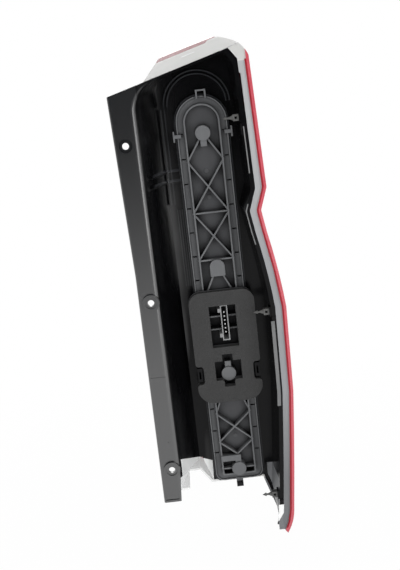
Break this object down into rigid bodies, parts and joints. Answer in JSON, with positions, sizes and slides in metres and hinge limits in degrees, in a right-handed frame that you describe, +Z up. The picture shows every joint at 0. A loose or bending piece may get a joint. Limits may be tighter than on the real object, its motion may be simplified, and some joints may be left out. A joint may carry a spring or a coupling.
{
  "type": "tail light cluster",
  "caption": "Tall vehicle tail light cluster: wrap-round red lens, pale skirt, black housing tray with side screw flange, and a ribbed bulb carrier with a foam-gasketed plug in its open back.",
  "frame": {"origin": "centre of the middle screw hole, on the face of the screw flange that seats on the body", "axes": "+X outboard (away from the screw flange), +Y from the body side towards the lens face, +Z up along the lamp"},
  "size_m": [0.1931, 0.1224, 0.657],
  "materials": {
    "housing_black": "moulded, satin gloss",
    "lens_red": "translucent red, polished",
    "lens_amber": "clear with faint optics, polished",
    "lens_clear": "clear with faint optics, polished",
    "skirt_grey": "translucent pale grey, polished",
    "foam_black": "closed-cell foam",
    "carrier_grey": "moulded, matt",
    "shroud_grey": "moulded, matt",
    "strip_grey": "extruded, satin",
    "foam_grey": "closed-cell foam",
    "tinned_pin": "tinned, bright",
    "brass_strip": "stamped",
    "bulb_cap": "stamped, nickel-bright",
    "bulb_glass": "clear",
    "reflector_metal": "vacuum metallised",
    "clip_grey": "moulded, natural grey"
  },
  "bodies": {
    "root": {"housing": "housing_black", "outer_lens": "lens_red", "indicator_window": "lens_amber", "reverse_window": "lens_clear", "lens_skirt": "skirt_grey", "carrier_seal": "foam_black", "bulb_carrier": "carrier_grey", "body_gasket": "foam_grey", "gasket_pad": "carrier_grey", "plug_shroud": "shroud_grey", "edge_strip": "strip_grey", "connector_pins": "tinned_pin", "earth_strip": "brass_strip", "feed_strips": "brass_strip", "stop_tail_bulb_cap": "bulb_cap", "stop_tail_bulb_glass": "bulb_glass", "indicator_bulb_cap": "bulb_cap", "indicator_bulb_glass": "bulb_glass", "reverse_bulb_cap": "bulb_cap", "reverse_bulb_glass": "bulb_glass", "fog_bulb_cap": "bulb_cap", "fog_bulb_glass": "bulb_glass", "reflector": "reflector_metal", "push_clips": "clip_grey"}
  },
  "joints": []
}
